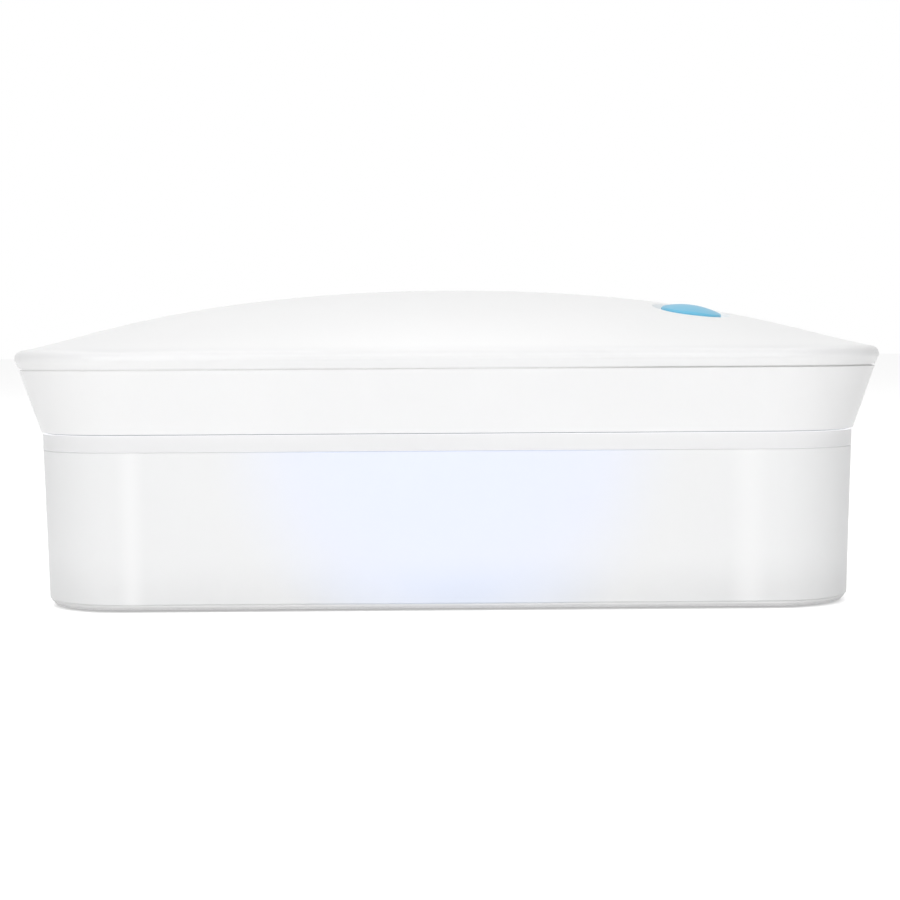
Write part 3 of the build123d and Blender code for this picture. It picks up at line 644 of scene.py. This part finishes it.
def screwMesh(name, headRadius, headHeight, shankRadius, length, form):
    shape = bmesh.new()
    sides = form["sides"]
    rounding = form["rimRound"] * headRadius
    arm = form["armLength"] * headRadius
    width = form["armWidth"] * headRadius
    taper = form["recessTaper"]
    top = circle(shape, headRadius - rounding, 0, sides)
    cross = crossOutline(shape, arm, width, 0)
    edges = [shape.edges.new((ring[i], ring[(i + 1) % len(ring)]))
             for ring in (top, cross) for i in range(len(ring))]
    bmesh.ops.triangle_fill(shape, edges=edges, use_beauty=True)
    floor = crossOutline(shape, arm * taper, width * taper, headHeight * form["recessDepth"])
    band(shape, cross, floor)
    shape.faces.new(floor)
    rings = []
    for step in range(1, form["rimSteps"] + 1):
        angle = tau / 4 * step / form["rimSteps"]
        rings.append((headRadius - rounding + rounding * sin(angle), rounding * (1 - cos(angle))))
    rings += [(headRadius, headHeight), (shankRadius, headHeight)]
    for ridge in range(int((length - headHeight) / form["ridgePitch"])):
        level = headHeight + (ridge + 0.5) * form["ridgePitch"]
        rings.append((shankRadius * (1 - form["ridgeDepth"]), level))
        rings.append((shankRadius, level + 0.5 * form["ridgePitch"]))
    last = top
    for radius, level in rings:
        ring = circle(shape, radius, level, sides)
        band(shape, last, ring)
        last = ring
    shape.faces.new(last)
    return finishMesh(shape, name, finishes["screwSteel"])


def buildScrews(node, kind, form):
    for index, (low, high) in enumerate(looseBoxes(node)):
        headRadius = (high.x - low.x) / 2 * cos(tau / 2 / form["cadSides"])
        mesh = screwMesh(node, headRadius, kind["head"], kind["shank"], high.z - low.z, form)
        screw = addObject(f"{node}_{index + 1}", mesh)
        level = high.z if kind["headUp"] else low.z
        over = tau / 2 if kind["headUp"] else 0
        screw.location = ((low.x + high.x) / 2, (low.y + high.y) / 2, level)
        screw.rotation_euler = (over, 0, form["turnStep"] * index)
        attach(screw, kind["body"])
        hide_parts(node)


for screwNode, screwKind in screwKinds.items():
    buildScrews(screwNode, screwKind, screwForm)
print("box: screws made")

# Lamps: ceramic package with a gold cavity, a die and a glass lid, all facing down from the board.
# Each ring is half its width and its depth under the board, in millimetres
lampForm = {
    "package": [(1.75, 0.0), (1.75, 0.9), (1.65, 1.0), (1.3, 1.0), (0.95, 0.35)],
    "die": [(0.45, 0.35), (0.45, 0.46), (0.4, 0.5)],
    "lid": [(1.28, 1.0), (1.28, 1.22), (1.2, 1.3)],
}
lampFinishes = ["lampCeramic", "goldPlate", "lampDie", "clearWindow"]


def stackRings(shape, rings, side, end, closed):
    sideIndex = lampFinishes.index(side)
    made = []
    for half, depth in rings:
        reach = half * millimetre
        made.append(rectangle(shape, -reach, reach, -reach, reach, -depth * millimetre))
    for first, second in zip(made, made[1:]):
        for face in band(shape, first, second):
            face.material_index = sideIndex
    shape.faces.new(made[-1]).material_index = lampFinishes.index(end)
    if closed:
        shape.faces.new(made[0]).material_index = sideIndex


def lampMesh(form):
    shape = bmesh.new()
    stackRings(shape, form["package"], "lampCeramic", "goldPlate", True)
    stackRings(shape, form["die"], "lampDie", "lampDie", False)
    stackRings(shape, form["lid"], "clearWindow", "clearWindow", True)
    return finishMesh(shape, "lampPackage", *[finishes[name] for name in lampFinishes])


lampShape = lampMesh(lampForm)
for lampIndex, (lampLow, lampHigh) in enumerate(looseBoxes("uv_lamps")):
    package = addObject(f"lampPackage_{lampIndex + 1}", lampShape)
    package.location = ((lampLow.x + lampHigh.x) / 2, (lampLow.y + lampHigh.y) / 2, lampHigh.z)
    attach(package, "lid")
    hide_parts("uv_lamps")
print("box: lamps made")

# Contact strips on both faces of the socket's tongue, with chamfered ends, in millimetres
contacts = {"count": 8, "pitch": 0.72, "width": 0.34, "length": 3.6, "height": 0.05, "setBack": 0.5}


def contactStrips(settings):
    low, high = (Vector(corner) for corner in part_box("usb_tongue"))
    half = settings["width"] / 2 * millimetre
    end = high.y - settings["setBack"] * millimetre
    start = end - settings["length"] * millimetre
    shape = bmesh.new()
    for level, rise in ((low.z, -settings["height"]), (high.z, settings["height"])):
        for index in range(settings["count"]):
            across = (index - (settings["count"] - 1) / 2) * settings["pitch"] * millimetre
            middle = (low.x + high.x) / 2 + across
            foot = rectangle(shape, middle - half, middle + half, start, end, level)
            crest = rectangle(shape, middle - half / 2, middle + half / 2,
                              start + half / 2, end - half / 2, level + rise * millimetre)
            band(shape, foot, crest)
            shape.faces.new(foot)
            shape.faces.new(crest)
    strips = addObject("socketContacts", finishMesh(shape, "socketContacts", finishes["goldPlate"]))
    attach(strips, "lid")


contactStrips(contacts)
print("box: socket contacts made")

# Floor, with less light of its own under the box, so that the box keeps its shadow there
floorForm = {
    "half": 6.0, "level": -0.0002, "colour": (0.9, 0.9, 0.9, 1), "lift": 0.62,
    "nearLift": 0.42, "shadowStart": -0.011, "shadowEnd": -0.005,
}


def seenBehind(tree):  # 1 for the rays that show the background in the view, in gloss or in glass
    path = addNode(tree, "ShaderNodeLightPath").outputs
    seen = doMath(tree, "MAXIMUM", path["Is Camera Ray"], path["Is Glossy Ray"])
    return doMath(tree, "MAXIMUM", seen, path["Is Transmission Ray"])


def floorMaterial(settings):
    material = bpy.data.materials.new("paleFloor")
    material.use_nodes = True
    tree = material.node_tree
    tree.nodes.remove(tree.nodes["Principled BSDF"])
    axes = splitAxes(tree, objectPlace(tree))
    beside = doMath(tree, "SUBTRACT", doMath(tree, "ABSOLUTE", axes["X"]), cadBox[1][0])
    before = doMath(tree, "SUBTRACT", doMath(tree, "ABSOLUTE", axes["Y"]), cadBox[1][1])
    away = doMath(tree, "MAXIMUM", beside, before)
    lift = remap(tree, away, settings["shadowStart"], settings["shadowEnd"],
                 settings["nearLift"], settings["lift"])
    strength = doMath(tree, "MULTIPLY", seenBehind(tree), lift)
    matt = addNode(tree, "ShaderNodeBsdfDiffuse", {"Color": settings["colour"]})
    light = addNode(tree, "ShaderNodeEmission", {"Strength": strength})
    both = addNode(tree, "ShaderNodeAddShader", {0: matt.outputs[0], 1: light.outputs[0]})
    feed(tree, tree.nodes["Material Output"].inputs, {"Surface": both.outputs[0]})
    return material


def buildFloor(settings):
    half = settings["half"]
    corners = [(x * half, y * half, settings["level"])
               for x, y in ((-1, -1), (1, -1), (1, 1), (-1, 1))]
    mesh = bpy.data.meshes.new("floor")
    mesh.from_pydata(corners, [], [(0, 1, 2, 3)])
    mesh.materials.append(floorMaterial(settings))
    floor = addObject("floor", mesh)


# World, a soft ambient light that is seen as plain white
studio = {"ambient": 0.36, "seen": 1.0, "colour": white}


def buildWorld(settings):
    world = bpy.data.worlds.new("paleStudio")
    scene.world = world
    world.use_nodes = True
    tree = world.node_tree
    strength = remap(tree, seenBehind(tree), 0.0, 1.0, settings["ambient"], settings["seen"],
                     smooth=False)
    feed(tree, tree.nodes["Background"].inputs, {
        "Color": settings["colour"], "Strength": strength})


lamps = {
    "frontSoftbox": {
        "at": (-0.15, -1.3, 0.75), "aim": (0, 0, 0.04), "size": (1.3, 1.0), "watts": 12.5,
    },
    "topSoftbox": {
        "at": (-0.1, 0.1, 1.2), "aim": (0, 0, 0.04), "size": (1.2, 1.0), "watts": 4.3,
    },
}


def addLamp(name, settings):
    data = bpy.data.lights.new(name, "AREA")
    data.shape = "RECTANGLE"
    data.size, data.size_y = settings["size"]
    data.energy = settings["watts"]
    lamp = addObject(name, data)
    lamp.location = settings["at"]
    toward = Vector(settings["aim"]) - lamp.location
    lamp.rotation_euler = toward.to_track_quat("-Z", "Y").to_euler()


buildFloor(floorForm)
buildWorld(studio)
for lampName, lampSettings in lamps.items():
    addLamp(lampName, lampSettings)

# Camera fitted to the photo, in metres and degrees, with the sensor in millimetres
view = {
    "focalPixels": 2028.9, "imagePixels": 900, "sensor": 36.0, "distance": 0.5369, "side": 0.00075,
    "height": 0.06634, "pitch": 3.224, "roll": 0.363, "turn": -0.352,
}


def buildCamera(settings):
    data = bpy.data.cameras.new("camera")
    data.sensor_width = settings["sensor"]
    data.lens = settings["focalPixels"] / settings["imagePixels"] * settings["sensor"]
    camera = addObject("camera", data)
    turn = Matrix.Rotation(radians(settings["turn"]), 4, "Z")
    place = Matrix.Translation((settings["side"], -settings["distance"], settings["height"]))
    pitch = Matrix.Rotation(radians(90 - settings["pitch"]), 4, "X")
    roll = Matrix.Rotation(radians(-settings["roll"]), 4, "Z")
    camera.matrix_world = turn @ place @ pitch @ roll
    scene.camera = camera


buildCamera(view)
scene.view_settings.view_transform = "Standard"
print("box: studio and camera set")
